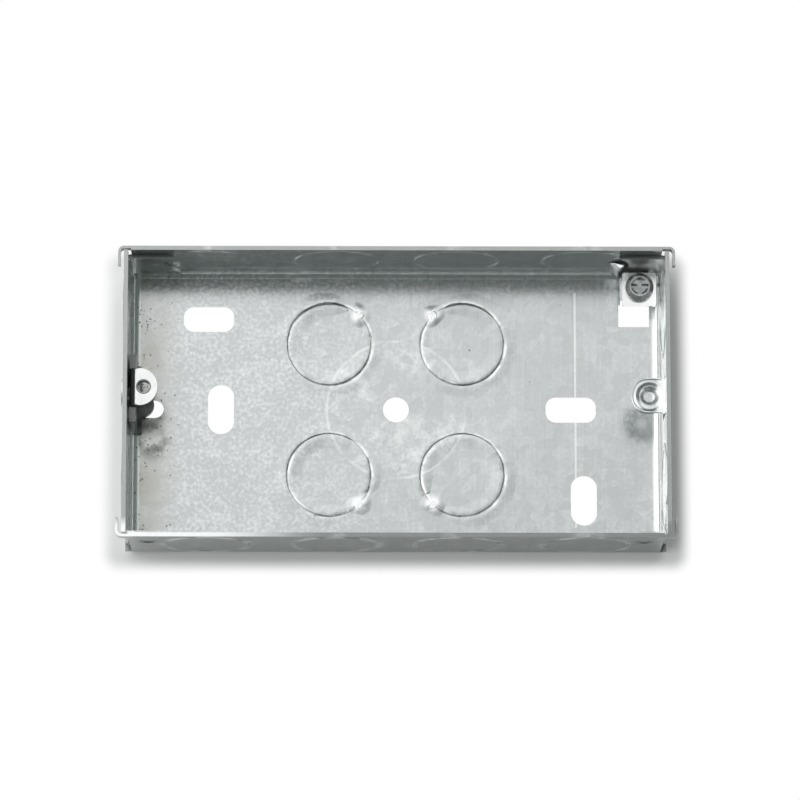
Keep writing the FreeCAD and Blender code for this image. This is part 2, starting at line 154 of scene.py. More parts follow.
# How a mark is broken up: a low and a high value of a cloud or tone, and the mark's share at each.
GRIME_SHADE_UNEVEN = (0.5, 1.0, 0.15, 0.95)
DARK_PATCH_UNEVEN = (0.42, 0.62, 0.0, 0.8)
SPECK_UNEVEN = (0.42, 0.62, 0.12, 0.95)
PRESSED_RING_UNEVEN = (0.38, 0.56, 0.0, 1.0)
FLECK_UNEVEN = (0.42, 0.70, 0.0, 0.55)
FLECKED_AREA = (0.42, 0.58, 0.0, 1.0)
OUTER_UNEVEN = (0.20, 0.85, 0.95, 0.68)
HIGHLIGHT_UNEVEN = (0.36, 0.60, 0.0, 1.0)
CUT_UNEVEN = (0.0, 0.7, 1.0, 0.55)
SCUFF_HIGHLIGHT_UNEVEN = (0.42, 0.58, 0.0, 1.0)
WEAR_HIGHLIGHT_UNEVEN = (0.44, 0.66, 0.0, 1.0)
DARK_PATCH_GRAIN = 2.6 * MM
SPECK_CLUSTER = 6.0 * MM
PRESSED_RING_GRAIN = 7.0 * MM
FLECK_SIZE = 2.0 * MM
HIGHLIGHT_GRAIN = 3.5 * MM
SCUFF_HIGHLIGHT_GRAIN = 5.0 * MM
WEAR_HIGHLIGHT_GRAIN = 4.0 * MM


class Shader:
    """A material's node tree, with one short call for each kind of step."""

    def __init__(self, name):
        self.material = bpy.data.materials.new(name)
        self.material.use_nodes = True
        self.tree = self.material.node_tree
        self.surface = self.tree.nodes["Principled BSDF"]
        self.place = self.tree.nodes.new("ShaderNodeTexCoord").outputs["Object"]

    def feed(self, socket, value):
        """Links an output to a socket, or sets a plain value on it."""
        if isinstance(value, bpy.types.NodeSocket):
            self.tree.links.new(value, socket)
        else:
            socket.default_value = value

    def math(self, operation, first, second=0.0, third=0.0):
        """One arithmetic step."""
        step = self.tree.nodes.new("ShaderNodeMath")
        step.operation = operation
        for socket, value in zip(step.inputs, (first, second, third)):
            self.feed(socket, value)
        return step.outputs[0]

    def plus(self, first, second, share):
        """One value with a share of another added to it."""
        return self.math("MULTIPLY_ADD", second, share, first)

    def minus(self, first, second):
        """One value less another."""
        return self.math("SUBTRACT", first, second)

    def times(self, first, *others):
        """The product of two or more values."""
        for other in others:
            first = self.math("MULTIPLY", first, other)
        return first

    def most(self, first, *others):
        """The largest of two or more values."""
        for other in others:
            first = self.math("MAXIMUM", first, other)
        return first

    def absolute(self, value):
        """A value without its sign."""
        return self.math("ABSOLUTE", value)

    def over(self, value, limit):
        """1 where the value is over the limit, and 0 elsewhere."""
        return self.math("GREATER_THAN", value, limit)

    def under(self, value, limit):
        """1 where the value is under the limit, and 0 elsewhere."""
        return self.math("LESS_THAN", value, limit)

    def ramp(self, value, low, high, to_low=0.0, to_high=1.0):
        """A smooth step from to_low at low to to_high at high."""
        step = self.tree.nodes.new("ShaderNodeMapRange")
        step.interpolation_type = "SMOOTHSTEP"
        self.feed(step.inputs["Value"], value)
        ends = {"From Min": low, "From Max": high, "To Min": to_low, "To Max": to_high}
        for name, number in ends.items():
            step.inputs[name].default_value = number
        return step.outputs[0]

    def near(self, distance, start, end, share):
        """A share as far as the start, which fades to nothing at the end."""
        return self.ramp(distance, start, end, share, 0.0)

    def axes(self):
        """The three coordinates of a point of the object, in metres."""
        split = self.tree.nodes.new("ShaderNodeSeparateXYZ")
        self.feed(split.inputs[0], self.place)
        return split.outputs

    def noise(self, sizes, detail=2.0):
        """Cloudy values about NOISE_MIDDLE, whose grain has the given sizes along X, Y and Z."""
        grain = self.tree.nodes.new("ShaderNodeMapping")
        grain.inputs["Scale"].default_value = [1.0 / size for size in sizes]
        self.feed(grain.inputs["Vector"], self.place)
        cloud = self.tree.nodes.new("ShaderNodeTexNoise")
        cloud.inputs["Scale"].default_value = 1.0
        cloud.inputs["Detail"].default_value = detail
        self.feed(cloud.inputs["Vector"], grain.outputs[0])
        return cloud.outputs["Fac"]

    def cloud(self, size, detail=2.0):
        """Cloudy values about NOISE_MIDDLE, whose grain has the same size in all directions."""
        return self.noise((size,) * 3, detail)

    def cells(self, size):
        """Crystal-like cells: distance to the cell's middle in cell sizes, and a random value a cell."""
        cell = self.tree.nodes.new("ShaderNodeTexVoronoi")
        cell.inputs["Scale"].default_value = 1.0 / size
        self.feed(cell.inputs["Vector"], self.place)
        split = self.tree.nodes.new("ShaderNodeSeparateColor")
        self.feed(split.inputs[0], cell.outputs["Color"])
        return cell.outputs["Distance"], split.outputs[0]

    def distance(self, first, second):
        """The length of the diagonal over two differences at a right angle."""
        squares = self.math("ADD", self.times(first, first), self.times(second, second))
        return self.math("SQRT", squares)

    def blend(self, share, first, second):
        """A colour between two colours."""
        step = self.tree.nodes.new("ShaderNodeMix")
        step.data_type = "RGBA"
        self.feed(step.inputs[0], share)
        colours = [socket for socket in step.inputs if socket.type == "RGBA"]
        self.feed(colours[0], first)
        self.feed(colours[1], second)
        return [socket for socket in step.outputs if socket.type == "RGBA"][0]

    def relief(self, height, depth):
        """Bump from a height between 0 and 1, depth metres deep at most."""
        step = self.tree.nodes.new("ShaderNodeBump")
        step.inputs["Distance"].default_value = depth
        self.feed(step.inputs["Height"], height)
        self.feed(self.surface.inputs["Normal"], step.outputs[0])


def galvanised_sheet():
    """Dull zinc coat: spangle, mottle and mill marks, grime with painted shade and specks at the left end,
    a dark patch, weld tint, painted shade on the outer faces, the lower rim's right part and the flaps'
    upper edge, painted highlights on the end folds, the lower rim's left part and the plate's knockout
    edges, cut edges, a scribed line, a pressed ring and sheared knockouts."""
    coat = Shader("galvanised_sheet")
    x, y, z = coat.axes()
    along = coat.absolute(x)
    across = coat.absolute(y)
    on_plate = coat.under(z, PLATE_FACE)
    front = coat.times(on_plate, coat.over(z, PLATE_MIDDLE), coat.under(along, OUTER_FACE_X))

    # Zinc: towards the right end the mottle fades and the mill marks grow; the walls are streaked upright.
    crystal = coat.cells(SPANGLE_SIZE)[1]
    mottle = coat.cloud(MOTTLE_SIZE, detail=4.0)
    cloud = coat.cloud(CLOUD_SIZE)
    mill = coat.noise((MILL_WIDTH, MILL_LENGTH, MILL_LENGTH))
    streak = coat.noise((STREAK_WIDTH, STREAK_WIDTH, STREAK_LENGTH), detail=4.0)
    tone = coat.ramp(x, ROUGH_END_X, SMOOTH_END_X, *TONE_BY_END)
    tone = coat.plus(tone, crystal, SPANGLE_SHARE)
    mottle_share = coat.ramp(x, ROUGH_END_X, SMOOTH_END_X, *MOTTLE_BY_END)
    tone = coat.plus(tone, coat.minus(mottle, NOISE_MIDDLE), mottle_share)
    tone = coat.plus(tone, cloud, CLOUD_SHARE)
    tone = coat.plus(tone, mill, coat.ramp(x, ROUGH_END_X, SMOOTH_END_X, *MILL_BY_END))
    streak_share = coat.plus(STREAK_SHARE, on_plate, -STREAK_SHARE)
    tone = coat.plus(tone, coat.minus(streak, NOISE_MIDDLE), streak_share)
    colour = coat.blend(coat.ramp(tone, *TONE_RANGE), SHEET_DARK, SHEET_LIGHT)

    # Grime with painted shade along the left wall's foot, and a dark patch near the levelling lug, at the
    # left end of the plate.
    left_end = coat.ramp(x, GRIME_SHADE_FULL_X, GRIME_SHADE_START_X, 1.0, 0.0)
    grime_and_shade = coat.ramp(coat.plus(cloud, mottle, GRIME_SHADE_MOTTLE), *GRIME_SHADE_UNEVEN)
    colour = coat.blend(coat.times(left_end, grime_and_shade, front), colour, GRIME_AND_PAINTED_SHADE)
    from_dark_patch = coat.distance(coat.minus(x, DARK_PATCH_X), coat.minus(y, DARK_PATCH_Y))
    dark_patch = coat.ramp(coat.cloud(DARK_PATCH_GRAIN, detail=3.0), *DARK_PATCH_UNEVEN)
    dark_patch = coat.times(coat.near(from_dark_patch, *DARK_PATCH_FADE), dark_patch, front)
    colour = coat.blend(dark_patch, colour, DARK_MARK_AND_PAINTED_SHADE)

    # Painted highlight on the end folds and end walls, and the heat tint of the spot welds.
    colour = coat.blend(coat.ramp(along, *END_FOLD_X), colour, FOLD_AND_RIM_HIGHLIGHT)
    from_weld = coat.distance(coat.minus(along, WELD_X), coat.minus(z, WELD_HEIGHT))
    tint = coat.times(coat.near(from_weld, *WELD_TINT_FADE), coat.over(across, FLAP_FACE_Y))
    colour = coat.blend(tint, colour, HEAT_TINT)

    # Painted shade on the outer faces with their bends; the rim, with a painted highlight on the left part
    # of the lower rim and painted shade on its right part; and painted shade along the flaps' upper edge
    # at the upper wall.
    bend = coat.times(coat.over(along, OUTER_BEND_X), coat.under(z, FLAP_EDGE))
    bend = coat.times(bend, coat.over(across, OUTER_BEND_Y))
    outside = coat.most(coat.over(across, OUTER_FACE_Y), coat.over(along, OUTER_FACE_X), bend)
    outside = coat.times(outside, coat.ramp(tone, *OUTER_UNEVEN))
    colour = coat.blend(outside, colour, OUTER_PAINTED_SHADE)
    # Lower rim: painted highlight on its left part, painted shade on its right part.
    lower_rim = coat.blend(coat.ramp(x, *LOWER_RIM_SHADE_X), FOLD_AND_RIM_HIGHLIGHT, RIM_PAINTED_SHADE)
    whole_rim = coat.blend(coat.ramp(y, *LOWER_RIM_Y), lower_rim, CUT_EDGE)
    colour = coat.blend(coat.ramp(z, *RIM_Z), colour, whole_rim)
    # A painted shade line along the flaps' upper edge at the upper wall.
    flap_edge_shade = coat.math("COMPARE", z, FLAP_EDGE, FLAP_EDGE_BLEND)
    flap_edge_shade = coat.times(flap_edge_shade, coat.over(y, FLAP_FACE_Y), FLAP_EDGE_SHARE)
    colour = coat.blend(flap_edge_shade, colour, DARK_MARK_AND_PAINTED_SHADE)

    # Specks, in clusters at the left end and a few elsewhere.
    from_speck, chance = coat.cells(SPECK_SPACING)
    likely = coat.ramp(coat.cloud(SPECK_CLUSTER), *SPECK_UNEVEN)
    likely = coat.plus(STRAY_SPECKS, left_end, likely)
    speck = coat.under(from_speck, SPECK_RADIUS / SPECK_SPACING)
    speck = coat.times(speck, coat.under(chance, likely), front)
    colour = coat.blend(speck, colour, SPECK)

    # Scribed line, pressed ring and flecks inside it.
    scribe = coat.near(coat.absolute(coat.minus(x, SCRIBE_X)), *SCRIBE_FADE)
    scribe = coat.times(scribe, coat.under(across, SCRIBE_HALF_LENGTH))
    from_middle = coat.distance(x, y)
    off_ring = coat.absolute(coat.minus(from_middle, PRESSED_RING_RADIUS))
    ring = coat.ramp(coat.cloud(PRESSED_RING_GRAIN), *PRESSED_RING_UNEVEN)
    ring = coat.times(coat.near(off_ring, *PRESSED_RING_FADE), ring)
    fleck = coat.ramp(coat.cloud(FLECK_SIZE, detail=5.0), *FLECK_UNEVEN)
    fleck = coat.times(fleck, coat.under(from_middle, PRESSED_RING_RADIUS))
    fleck = coat.times(fleck, coat.ramp(cloud, *FLECKED_AREA))
    mark = coat.times(coat.most(scribe, ring, fleck), front)
    colour = coat.blend(mark, colour, MARK)

    # Knockouts of the plate: a dark cut, a painted highlight inside it at the lower left and outside it
    # at the upper right, and a painted highlight at the tie.
    beside_x = coat.plus(x, coat.math("SIGN", x), -BACK_KNOCKOUT)
    beside_y = coat.plus(y, coat.math("SIGN", y), -BACK_KNOCKOUT)
    from_cut = coat.minus(coat.distance(beside_x, beside_y), KNOCKOUT_RADIUS)
    off_cut = coat.absolute(from_cut)
    patchy = coat.ramp(coat.cloud(HIGHLIGHT_GRAIN, detail=3.0), *HIGHLIGHT_UNEVEN)
    lower_left = coat.ramp(coat.plus(beside_x, beside_y, HIGHLIGHT_SLANT), *HIGHLIGHT_SIDES, 1.0, -1.0)
    side = coat.times(from_cut, lower_left)
    painted_highlight = coat.ramp(side, -HIGHLIGHT_WIDTH, -HIGHLIGHT_CORE)
    painted_highlight = coat.times(painted_highlight, coat.under(off_cut, HIGHLIGHT_WIDTH), coat.under(side, 0.0))
    painted_highlight = coat.times(painted_highlight, coat.absolute(lower_left), patchy, on_plate, HIGHLIGHT_SHARE)
    from_tie = coat.distance(coat.minus(along, TIE_X), coat.minus(across, TIE_Y))
    tie = coat.near(from_tie, *TIE_FADE)
    painted_highlight = coat.most(painted_highlight, coat.times(tie, on_plate))
    colour = coat.blend(painted_highlight, colour, KNOCKOUT_HIGHLIGHT)
    cut = coat.times(coat.near(off_cut, *CUT_FADE), coat.ramp(patchy, *CUT_UNEVEN))
    cut = coat.times(cut, coat.minus(1.0, tie), on_plate)
    colour = coat.blend(cut, colour, DARK_MARK_AND_PAINTED_SHADE)

    # Knockouts of the long walls: scuffed along the cut and lighter round it on the outside, wear together
    # with a painted highlight of the rolled edges.
    above = coat.minus(z, WALL_KNOCKOUT_HEIGHT)
    inner, outer = (coat.distance(coat.minus(along, off), above) for off in LONG_KNOCKOUTS)
    from_cut = coat.minus(coat.math("MINIMUM", inner, outer), KNOCKOUT_RADIUS)
    scuff_and_highlight = coat.ramp(coat.cloud(SCUFF_HIGHLIGHT_GRAIN, detail=4.0), *SCUFF_HIGHLIGHT_UNEVEN)
    scuff_and_highlight = coat.times(coat.near(coat.absolute(from_cut), *SCUFF_HIGHLIGHT_FADE), scuff_and_highlight)
    scuff_and_highlight = coat.times(scuff_and_highlight, coat.over(across, FLAP_FACE_Y))
    wear_and_painted_light = coat.ramp(coat.cloud(WEAR_HIGHLIGHT_GRAIN, detail=3.0), *WEAR_HIGHLIGHT_UNEVEN)
    wear_and_painted_light = coat.times(coat.near(from_cut, *WEAR_HIGHLIGHT_FADE), coat.over(from_cut, WEAR_HIGHLIGHT_START), wear_and_painted_light)
    wear_and_painted_light = coat.times(wear_and_painted_light, coat.over(across, OUTER_FACE_Y))
    colour = coat.blend(coat.most(scuff_and_highlight, wear_and_painted_light), colour, MARK)

    coat.feed(coat.surface.inputs["Base Color"], colour)
    coat.surface.inputs["Metallic"].default_value = SHEET_METALLIC
    roughness = coat.plus(SHEET_ROUGHNESS, mottle, SHEET_ROUGHNESS_SPREAD)
    coat.feed(coat.surface.inputs["Roughness"], roughness)
    height = coat.plus(coat.times(crystal, SPANGLE_RELIEF), mottle, MOTTLE_RELIEF)
    coat.relief(coat.minus(height, coat.times(mark, MARK_RELIEF)), SHEET_RELIEF)
    return coat.material


def finish_node(name, material):
    """Gives a solid of the frame its finish."""
    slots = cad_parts[name].data.materials
    slots.clear()
    slots.append(material)


sheet_finish = galvanised_sheet()
finish_node("back_box", sheet_finish)

# Knockout edges: where the punch sheared each round disc the sheet rolled over and left two low
# rounded lips, one on the disc and one on the sheet round it, which close the cut between them.
# Each disc still hangs on one tie, where the sheet is pinched and swells on both sides of the cut.

SHORT_KNOCKOUT = 21.3 * MM
SHEET = 1.0 * MM
HALF_LENGTH = 65.0 * MM
HALF_WIDTH = 35.1 * MM
# Each lip's crest beside the cut, its foot and its drop into the cut beside the crest, and its height.
PLATE_LIPS = (
    (-0.40 * MM, -3.2 * MM, 0.38 * MM, 0.075 * MM),
    (0.34 * MM, 2.6 * MM, -0.32 * MM, 0.05 * MM),
)
WALL_LIPS = (
    (-0.22 * MM, -0.5 * MM, 0.22 * MM, 0.11 * MM),
    (0.19 * MM, 0.36 * MM, -0.19 * MM, 0.06 * MM),
)
LIP_PLACE = (-1.6, -1.3, -1.0, -0.75, -0.5, -0.25, 0.0, 0.4, 0.75, 1.0)
LIP_CLIMB = (-0.5, -0.2, 0.0, 0.19, 0.56, 0.88, 1.0, 0.75, 0.25, -0.4)
LIP_ROOT = 0.15 * MM
LIP_WAVER = 0.03 * MM
LIP_SWELL = 0.3
# The waves of a wavering edge: how many go round, and the share of each.
LIP_WAVES = ((2, 1.0), (7, 0.7), (17, 0.5), (31, 0.4))
LIP_END_POWER = 12
LIP_END_SINK = 1.5
TIE_HALF_ANGLE = math.radians(13.5)


def waves(turn, table, starts):
    """The sum of sines of a turn, each with how many go round, its share and its start."""
    return sum(share * np.sin(count * turn + start) for (count, share), start in zip(table, starts))


def lip_grid(radius, foot, drop, height, tie_turn, seed, along=72):
    """A closed section carried round an arc from one side of the tie to the other.

    The section leaves the sheet at its foot, climbs to the crest as (1 - d^2)^2, rolls over into the
    cut and closes inside the sheet. The arc's radius and the crest's height waver a little, and the
    section sinks into the sheet at both ends. Returns points (along, around, 3) on a face with its
    middle at the origin and normal Z.
    """
    share = np.linspace(0.0, 1.0, along)[:, None]
    turn = tie_turn + TIE_HALF_ANGLE + share * (2.0 * math.pi - 2.0 * TIE_HALF_ANGLE)
    place = np.array(LIP_PLACE)
    side = np.where(place < 0.0, -foot, drop) * place
    side = np.concatenate([side, side[[-1, 0]]])[None, :]
    climb = np.concatenate([np.array(LIP_CLIMB) * height, [-LIP_ROOT, -LIP_ROOT]])[None, :]
    if foot < drop:
        side = side[:, ::-1]
        climb = climb[:, ::-1]
    starts = np.random.default_rng(seed + 1).uniform(0.0, 2.0 * math.pi, len(LIP_WAVES))
    waver = waves(turn, LIP_WAVES, starts)
    sink = LIP_END_SINK * height * (2.0 * share - 1.0) ** LIP_END_POWER
    reach = radius + LIP_WAVER * waver + side
    rise = np.where(climb > -LIP_ROOT, climb * (1.0 + LIP_SWELL * waver) - sink, climb)
    return np.stack([reach * np.cos(turn), reach * np.sin(turn), rise], axis=-1)


PINCH_RADIUS = 3.4 * MM
PINCH_HEIGHT = 0.17 * MM
PINCH_VALLEY = 0.45 * MM
PINCH_VALLEY_DEPTH = 0.4
PINCH_SINK = 0.012 * MM
PINCH_POLE = 0.05
PINCH_OUTLINE = ((2, 0.12), (3, 0.08))
PINCH_SWELL = ((2, 0.25),)


def pinch_grid(tie_turn, seed, along=21, around=24):
    """The pinched sheet at a tie: a low swelling with a wavering outline and a valley along the cut.

    Rings about the swelling's middle go from its top through its rim to its underside, which lies in
    the sheet: distance R sin t and height H cos^4 t, and -H cos^4 t past the rim, for t from 0 to half a
    turn. The whole is sunk a little, so that its rim lies in the sheet.
    """
    fall = np.linspace(PINCH_POLE, math.pi - PINCH_POLE, along)[:, None]
    part = np.linspace(0.0, 2.0 * math.pi, around, endpoint=False)[None, :]
    starts = np.random.default_rng(seed + 101).uniform(0.0, 2.0 * math.pi, 3)
    outline = PINCH_RADIUS * (1.0 + waves(part, PINCH_OUTLINE, starts[:2]))
    off_cut = outline * np.sin(fall) * np.cos(part)
    beside = outline * np.sin(fall) * np.sin(part)
    valley = 1.0 - PINCH_VALLEY_DEPTH * np.exp(-((off_cut / PINCH_VALLEY) ** 2))
    rise = PINCH_HEIGHT * np.sign(np.cos(fall)) * np.cos(fall) ** 4 * valley
    rise = rise * (1.0 + waves(part, PINCH_SWELL, starts[2:])) - PINCH_SINK
    reach = KNOCKOUT_RADIUS + off_cut
    across = reach * math.cos(tie_turn) - beside * math.sin(tie_turn)
    up = reach * math.sin(tie_turn) + beside * math.cos(tie_turn)
    return np.stack([across, up, rise], axis=-1)


def strip_mesh(name, grids, ring=False):
    """One mesh from grids of the same size, each closed round its second axis and capped at its ends.

    A ring is closed round its first axis too, and has no caps.
    """
    points = np.stack(grids)
    count, along, around, _ = points.shape
    number = np.arange(count * along * around).reshape(count, along, around)
    beside = np.roll(number, -1, axis=2)
    rows = along if ring else along - 1
    after = np.roll(number, -1, axis=1)[:, :rows]
    after_beside = np.roll(beside, -1, axis=1)[:, :rows]
    sides = np.stack([number[:, :rows], after, after_beside, beside[:, :rows]], axis=-1)
    faces = sides.reshape(-1, 4).tolist()
    if not ring:
        faces += number[:, 0, :].tolist() + number[:, -1, ::-1].tolist()
    mesh = bpy.data.meshes.new(name)
    mesh.from_pydata(points.reshape(-1, 3).tolist(), [], faces)
    mesh.shade_smooth()
    piece = bpy.data.objects.new(name, mesh)
    bpy.context.scene.collection.objects.link(piece)
    return piece


def knockout_faces():
    """Each face of each knockout: middle, two directions along it, the tie's angle, inside or not."""
    along_x, along_y, along_z = (1, 0, 0), (0, 1, 0), (0, 0, 1)
    places = []
    for x in (-1, 1):
        for y in (-1, 1):
            plate_tie = math.atan2(y, -x)
            short_tie = math.atan2(x, y)
            long_tie = math.atan2(-1, -x)
            plate = (x * BACK_KNOCKOUT, y * BACK_KNOCKOUT, SHEET)
            places.append((plate, along_x, along_y, plate_tie, True))
            for depth in (0.0, SHEET):
                short = (x * (HALF_LENGTH - depth), y * SHORT_KNOCKOUT, WALL_KNOCKOUT_HEIGHT)
                places.append((short, along_y, along_z, short_tie, depth > 0.0))
                for off in LONG_KNOCKOUTS:
                    long = (x * off, y * (HALF_WIDTH - depth), WALL_KNOCKOUT_HEIGHT)
                    places.append((long, along_x, along_z, long_tie, depth > 0.0))
    return places


lips = []
pinches = []
for seed, (middle, across, up, tie, inside) in enumerate(knockout_faces()):
    out = np.cross(across, up)
    face = np.array([across, up, out], dtype=float)
    sections = PLATE_LIPS if middle[2] == SHEET else WALL_LIPS
    for which, (aside, foot, drop, height) in enumerate(sections):
        grid = lip_grid(KNOCKOUT_RADIUS + aside, foot, drop, height, tie, 2 * seed + which)
        lips.append(np.array(middle) + grid @ face)
    if inside:
        pinches.append(np.array(middle) + pinch_grid(tie, seed) @ face)
for piece in (strip_mesh("knockout_lips", lips), strip_mesh("knockout_ties", pinches)):
    piece.data.materials.append(sheet_finish)
    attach(piece, "box")

# Edges of the fixed lug: the lug is lanced out of the right wall, so its outline has a rolled edge,
# and the sheet round its hole is drawn down into the tapped boss, with a low collar round it.

LUG_FACE = 19.3 * MM
LUG_FOLD_X = 63.4 * MM
LUG_TIP_X = 56.0 * MM
LUG_HALF_WIDTH = 4.25 * MM
LUG_TIP_RADIUS = 3.8 * MM
LUG_EDGE = (0.22 * MM, 0.26 * MM, 0.15 * MM)
LUG_HOLE_X = 60.3 * MM
COLLAR_REACH = (2.3 * MM, 3.3 * MM, 3.95 * MM)
COLLAR_HEIGHT = 0.24 * MM
COLLAR_SINK = 0.02 * MM
COLLAR_ROOT = 0.2 * MM


def lug_edge(side=10, corner=14, around=10):
    """A closed ellipse carried along the lug's outline: down one side, round the tip and up the other.

    A point lies at a distance from a middle, which slides along the straight sides while the
    direction stays, and stays at the tip's two corners while the direction turns.
    """
    inset, half_width, height = LUG_EDGE
    straight = np.linspace(LUG_FOLD_X, LUG_TIP_X + LUG_TIP_RADIUS, side)
    bend = np.linspace(0.5 * math.pi, math.pi, corner)
    middle_x = np.concatenate([straight, np.full(2 * corner, straight[-1]), straight[::-1]])[:, None]
    middle_y = (LUG_HALF_WIDTH - LUG_TIP_RADIUS) * np.repeat([1.0, -1.0], side + corner)[:, None]
    round_tip = np.concatenate([bend, bend + 0.5 * math.pi])
    turn = np.concatenate([np.full(side, bend[0]), round_tip, np.full(side, 3.0 * bend[0])])
    part = np.linspace(0.0, 2.0 * math.pi, around, endpoint=False)[None, :]
    reach = LUG_TIP_RADIUS - inset + half_width * np.cos(part)
    rise = LUG_FACE + height * np.sin(part) + 0.0 * middle_x
    across = middle_x + reach * np.cos(turn)[:, None]
    return np.stack([across, middle_y + reach * np.sin(turn)[:, None], rise], axis=-1)


def lug_collar(along=64, around=28):
    """A ring round the hole, whose section climbs from the hole to a crest and falls steeply outside it.

    The section's upper side is H sin^2 of a quarter turn on each side of the crest; its lower side
    is flat and lies in the lug, and so do its two edges.
    """
    inner, crest, outer = COLLAR_REACH
    turn = np.linspace(0.0, 2.0 * math.pi, along, endpoint=False)[:, None]
    share = np.linspace(0.0, 1.0, around // 2)
    over = np.interp(share, [0.0, 0.5, 1.0], [outer, crest, inner])
    reach = np.concatenate([over, over[::-1]])[None, :]
    hump = np.sin(math.pi * share) ** 2 * COLLAR_HEIGHT - COLLAR_SINK
    rise = LUG_FACE + np.concatenate([hump, np.full(around // 2, -COLLAR_ROOT)])[None, :] + 0.0 * turn
    return np.stack([LUG_HOLE_X + reach * np.cos(turn), reach * np.sin(turn), rise], axis=-1)


edge_piece = strip_mesh("fixed_lug_edge", [lug_edge()])
collar_piece = strip_mesh("fixed_lug_collar", [lug_collar()], ring=True)

# Sprung flap end and lanced cut: the end of the upper right flap has sprung away from the long wall,
# and the cut beside the terminal tab has a burr along its left side. Both are of the folded sheet.

FLAP_END_SECTION_X = (54.9 * MM, 54.2 * MM, 53.7 * MM, 51.5 * MM, 53.4 * MM, 54.9 * MM)
FLAP_END_SECTION_Y = (33.0 * MM, 32.35 * MM, 32.0 * MM, 33.95 * MM, 33.7 * MM, 33.5 * MM)
FLAP_END_LOW = 3.0 * MM
FLAP_END_HIGH = 13.6 * MM
FLAP_END_POWER = 8
FLAP_END_LEAST = 0.02
BURR_MIDDLE = (54.12 * MM, 0.50 * MM)
BURR_HALF_SIZE = (0.38 * MM, 0.44 * MM)
BURR_LOW_Y = 26.0 * MM
BURR_HIGH_Y = 32.2 * MM
BURR_WAVER = 0.08
BURR_RADIANS_PER_MM = 2.6


def flap_end(along=24, steps=8):
    """The bent section carried up the flap; towards both ends it shrinks to its own first corner."""
    share = np.linspace(0.0, 1.0, along)[:, None]
    taper = np.sqrt(np.clip(1.0 - (2.0 * share - 1.0) ** FLAP_END_POWER, 0.0, 1.0)) + FLAP_END_LEAST
    corners = len(FLAP_END_SECTION_X)
    corner = np.linspace(0.0, corners, steps * corners, endpoint=False)
    x = np.interp(corner, range(corners + 1), FLAP_END_SECTION_X + FLAP_END_SECTION_X[:1])[None, :]
    y = np.interp(corner, range(corners + 1), FLAP_END_SECTION_Y + FLAP_END_SECTION_Y[:1])[None, :]
    height = FLAP_END_LOW + share * (FLAP_END_HIGH - FLAP_END_LOW)
    across = x[:, :1] + (x - x[:, :1]) * taper
    return np.stack([across, y[:, :1] + (y - y[:, :1]) * taper, height + 0.0 * x], axis=-1)


def cut_burr(along=24, around=10):
    """A closed ellipse in XZ carried along the cut, whose width wavers a little."""
    y = np.linspace(BURR_LOW_Y, BURR_HIGH_Y, along)[:, None]
    part = np.linspace(0.0, 2.0 * math.pi, around, endpoint=False)[None, :]
    width = BURR_HALF_SIZE[0] * (1.0 + BURR_WAVER * np.sin(BURR_RADIANS_PER_MM * y / MM))
    across = BURR_MIDDLE[0] + width * np.cos(part)
    rise = BURR_MIDDLE[1] + BURR_HALF_SIZE[1] * np.sin(part) + 0.0 * y
    return np.stack([across, y + 0.0 * part, rise], axis=-1)


flap_piece = strip_mesh("sprung_flap_end", [flap_end()])
burr_piece = strip_mesh("lanced_cut_burr", [cut_burr()])
for piece in (edge_piece, collar_piece, flap_piece, burr_piece):
    piece.data.materials.append(sheet_finish)
    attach(piece, "box")

# Threads of the lugs: both lugs are tapped with a fine screw thread for the fixing screws of an
# accessory, cut into the boss of the fixed lug and into the thick face of the levelling lug.

THREAD_PITCH = 0.6 * MM
THREAD_ROOT = 1.53 * MM
THREAD_CREST = 1.31 * MM
THREAD_SECTION = (0.26 * MM, 0.05 * MM, -0.05 * MM, -0.26 * MM)
FIXED_THREAD_SPAN = (16.8 * MM, 18.3 * MM)
LEVELLING_THREAD_SPAN = (18.1 * MM, 18.8 * MM)
LEVELLING_LUG_Y = 2.0 * MM
THREAD_FADE = 0.125


def thread_ridge(x, y, low, high, steps=28):
    """A flat-crested ridge carried up a helix inside a hole, one pitch a turn, fading at both ends."""
    count = int((high - low) / THREAD_PITCH * steps)
    share = np.linspace(0.0, 1.0, count)[:, None]
    turn = share * (high - low) / THREAD_PITCH * 2.0 * math.pi
    taper = np.clip(np.minimum(share, 1.0 - share) / THREAD_FADE, 0.0, 1.0)
    depth = np.array([[0.0, 1.0, 1.0, 0.0]]) * taper
    rise = np.array([THREAD_SECTION])
    reach = THREAD_ROOT - (THREAD_ROOT - THREAD_CREST) * depth
    height = low + share * (high - low) + rise
    return np.stack([x + reach * np.cos(turn), y + reach * np.sin(turn), height], axis=-1)


fixed_thread = strip_mesh("fixed_lug_thread", [thread_ridge(LUG_HOLE_X, 0.0, *FIXED_THREAD_SPAN)])
fixed_thread.data.materials.append(sheet_finish)
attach(fixed_thread, "box")
levelling_thread = strip_mesh(
    "levelling_lug_thread", [thread_ridge(-LUG_HOLE_X, LEVELLING_LUG_Y, *LEVELLING_THREAD_SPAN)]
)

# Levelling lug: a thicker bracket of bright zinc-plated steel that slides along the left wall's inner
# face. Its rivet passes through a slot of the wall and keeps it there. Both are barrel-plated.

PLATED_DARK = (0.80, 0.81, 0.81, 1.0)
PLATED_LIGHT = (0.95, 0.96, 0.95, 1.0)
